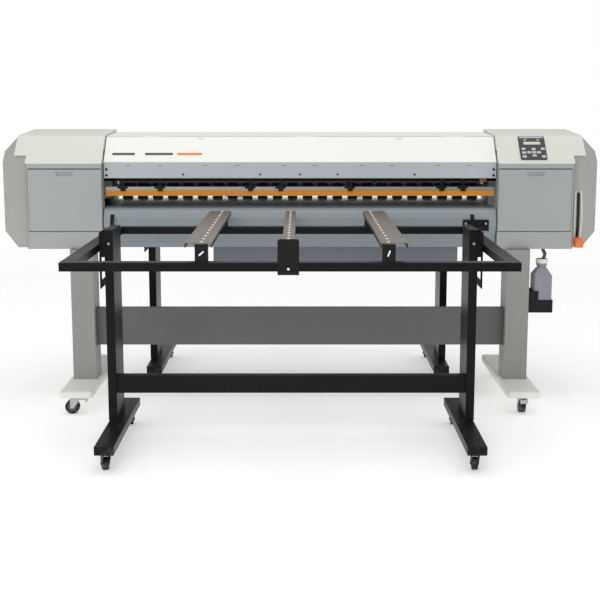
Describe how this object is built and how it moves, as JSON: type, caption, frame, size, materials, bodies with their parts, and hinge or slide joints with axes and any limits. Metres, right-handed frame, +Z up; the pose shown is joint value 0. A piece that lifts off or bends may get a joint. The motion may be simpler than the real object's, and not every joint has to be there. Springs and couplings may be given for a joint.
{
  "type": "wide-format printer",
  "caption": "Wide-format roll and board printer on a wheeled T-foot stand, with hinged lid, end boxes, lever and wheeled board tables in front and behind.",
  "frame": {"origin": "on the floor under the centre of the whole footprint", "axes": "+X along the print width to the operator's right, +Y away from the operator, +Z up"},
  "size_m": [2.8, 2.645, 1.25],
  "materials": {
    "stand_grey": "satin powder coat",
    "beam_grey": "satin powder coat",
    "caster_zinc": "zinc plated",
    "caster_rubber": "matt",
    "frame_steel": "satin",
    "apron_grey": "satin",
    "platen_metal": "anodised",
    "grit_roller": "grit coated",
    "guide_metal": "satin",
    "rail_black": "satin",
    "carriage_black": "satin",
    "head_metal": "satin",
    "lamp_housing": "satin",
    "belt_rubber": "matt",
    "motor_black": "satin",
    "station_grey": "satin",
    "pinch_black": "satin",
    "pinch_rubber": "matt",
    "lid_white": "satin",
    "amber_acrylic": "gloss tinted",
    "strip_metal": "satin",
    "clamp_black": "satin",
    "cover_light": "fine texture",
    "panel_grey": "fine texture",
    "side_grey": "fine texture",
    "lever_steel": "satin",
    "handle_orange": "satin",
    "panel_black": "satin",
    "box_blue_grey": "satin",
    "holder_black": "satin",
    "bottle_plastic": "translucent",
    "hose_plastic": "satin",
    "table_black": "satin powder coat",
    "support_metal": "satin",
    "caster_black": "satin",
    "table_wheel": "matt"
  },
  "bodies": {
    "root": {"stand_legs": "stand_grey", "stand_beam": "beam_grey", "base_frame": "frame_steel", "side_frames": "frame_steel", "front_apron": "apron_grey", "platen": "platen_metal", "rear_guide": "guide_metal", "carriage_rail": "rail_black", "drive_belt": "belt_rubber", "drive_motors": "motor_black", "capping_station": "station_grey", "rear_cover": "lid_white", "left_end_cover": "cover_light", "right_end_cover": "cover_light", "front_frames": "panel_grey", "left_side_cover": "side_grey", "right_side_cover": "side_grey", "control_panel": "panel_black", "electronics_box": "box_blue_grey", "bottle_holder": "holder_black", "drain_hose": "hose_plastic", "rear_caster_forks": "caster_zinc"},
    "left_caster": {"left_caster_fork": "caster_zinc"},
    "right_caster": {"right_caster_fork": "caster_zinc"},
    "left_wheel": {"left_caster_wheel": "caster_rubber"},
    "right_wheel": {"right_caster_wheel": "caster_rubber"},
    "rear_wheels": {"rear_caster_wheels": "caster_rubber"},
    "carriage": {"carriage": "carriage_black", "print_heads": "head_metal", "curing_lamps": "lamp_housing"},
    "feed_roller": {"feed_roller": "grit_roller"},
    "pinch_arms": {"pinch_arms": "pinch_black", "pinch_rollers": "pinch_rubber"},
    "lid": {"front_cover": "lid_white", "amber_shield": "amber_acrylic", "shield_strip": "strip_metal", "shield_clamps": "clamp_black"},
    "left_door": {"left_door": "panel_grey"},
    "right_door": {"right_door": "panel_grey"},
    "lever": {"pressure_lever": "lever_steel", "lever_handle": "handle_orange"},
    "bottle": {"waste_bottle": "bottle_plastic"},
    "front_table": {"front_table_legs": "table_black", "front_table_frame": "table_black", "front_table_brackets": "table_black", "table_hooks": "table_black", "table_back_forks": "caster_black"},
    "support_left": {"support_left": "support_metal"},
    "support_center": {"support_center": "support_metal"},
    "support_right": {"support_right": "support_metal"},
    "table_left_caster": {"table_left_fork": "caster_black"},
    "table_right_caster": {"table_right_fork": "caster_black"},
    "table_left_wheel": {"table_left_wheel": "table_wheel"},
    "table_right_wheel": {"table_right_wheel": "table_wheel"},
    "table_back_wheels": {"table_back_wheels": "table_wheel"},
    "rear_table": {"rear_table_legs": "table_black", "rear_table_frame": "table_black", "rear_table_forks": "caster_black"},
    "rear_table_front_wheels": {"rear_table_front_wheels": "table_wheel"},
    "rear_table_back_wheels": {"rear_table_back_wheels": "table_wheel"}
  },
  "joints": [
    {"name": "lid_hinge", "type": "hinge", "parent": "root", "child": "lid", "pos_m": [0, 0.1505, 1.216], "axis": [-1, 0, 0], "range_deg": [0, 65]},
    {"name": "left_door_hinge", "type": "hinge", "parent": "root", "child": "left_door", "pos_m": [-1.07125, -0.001, 0.8025], "axis": [1, 0, 0], "range_deg": [0, 90]},
    {"name": "right_door_hinge", "type": "hinge", "parent": "root", "child": "right_door", "pos_m": [1.07125, -0.001, 0.8025], "axis": [1, 0, 0], "range_deg": [0, 90]},
    {"name": "carriage_slide", "type": "slide", "parent": "root", "child": "carriage", "axis": [-1, 0, 0], "range_m": [0, 2.165]},
    {"name": "feed_roller_spin", "type": "hinge", "parent": "root", "child": "feed_roller", "pos_m": [0, 0.2375, 0.8905], "axis": [1, 0, 0], "continuous": true},
    {"name": "lever_swing", "type": "hinge", "parent": "root", "child": "lever", "pos_m": [1.282, 0.2225, 0.863], "axis": [-1, 0, 0], "range_deg": [0, 60]},
    {"name": "pinch_lift", "type": "hinge", "parent": "root", "child": "pinch_arms", "pos_m": [0, 0.3145, 0.985], "axis": [1, 0, 0], "range_deg": [0, 9]},
    {"name": "bottle_lift", "type": "slide", "parent": "root", "child": "bottle", "axis": [0, 0, 1], "range_m": [0, 0.045], "deforming": ["drain_hose"]},
    {"name": "front_table_roll", "type": "slide", "parent": "root", "child": "front_table", "axis": [0, -1, 0], "range_m": [0, 0.6]},
    {"name": "rear_table_roll", "type": "slide", "parent": "root", "child": "rear_table", "axis": [0, 1, 0], "range_m": [0, 0.6]},
    {"name": "support_left_slide", "type": "slide", "parent": "front_table", "child": "support_left", "axis": [1, 0, 0], "range_m": [-0.3, 0.2]},
    {"name": "support_center_slide", "type": "slide", "parent": "front_table", "child": "support_center", "axis": [1, 0, 0], "range_m": [-0.2, 0.3]},
    {"name": "support_right_slide", "type": "slide", "parent": "front_table", "child": "support_right", "axis": [1, 0, 0], "range_m": [0, 0.28]},
    {"name": "left_caster_swivel", "type": "hinge", "parent": "root", "child": "left_caster", "pos_m": [-1, -0.2325, 0.079], "axis": [0, 0, 1], "continuous": true},
    {"name": "right_caster_swivel", "type": "hinge", "parent": "root", "child": "right_caster", "pos_m": [1, -0.2325, 0.079], "axis": [0, 0, 1], "continuous": true},
    {"name": "left_wheel_spin", "type": "hinge", "parent": "left_caster", "child": "left_wheel", "pos_m": [-1.022, -0.2325, 0.032], "axis": [0, -1, 0], "continuous": true},
    {"name": "right_wheel_spin", "type": "hinge", "parent": "right_caster", "child": "right_wheel", "pos_m": [1, -0.2105, 0.032], "axis": [-1, 0, 0], "continuous": true},
    {"name": "rear_wheels_spin", "type": "hinge", "parent": "root", "child": "rear_wheels", "pos_m": [0, 0.5065, 0.032], "axis": [1, 0, 0], "continuous": true},
    {"name": "table_left_swivel", "type": "hinge", "parent": "front_table", "child": "table_left_caster", "pos_m": [-0.735, -1.0855, 0.075], "axis": [0, 0, 1], "continuous": true},
    {"name": "table_right_swivel", "type": "hinge", "parent": "front_table", "child": "table_right_caster", "pos_m": [0.665, -1.0855, 0.075], "axis": [0, 0, 1], "continuous": true},
    {"name": "table_left_wheel_spin", "type": "hinge", "parent": "table_left_caster", "child": "table_left_wheel", "pos_m": [-0.74261, -1.06919, 0.025], "axis": [-0.9063, -0.4226, 0], "continuous": true},
    {"name": "table_right_wheel_spin", "type": "hinge", "parent": "table_right_caster", "child": "table_right_wheel", "pos_m": [0.665, -1.0675, 0.025], "axis": [-1, 0, 0], "continuous": true},
    {"name": "table_back_wheels_spin", "type": "hinge", "parent": "front_table", "child": "table_back_wheels", "pos_m": [0, -0.4185, 0.025], "axis": [1, 0, 0], "continuous": true},
    {"name": "rear_table_front_spin", "type": "hinge", "parent": "rear_table", "child": "rear_table_front_wheels", "pos_m": [0, 0.3095, 0.025], "axis": [1, 0, 0], "continuous": true},
    {"name": "rear_table_back_spin", "type": "hinge", "parent": "rear_table", "child": "rear_table_back_wheels", "pos_m": [0, 0.9585, 0.025], "axis": [1, 0, 0], "continuous": true}
  ],
  "couplings": [
    {"joint": "pinch_lift", "follows": "lever_swing", "ratio": 0.15}
  ]
}
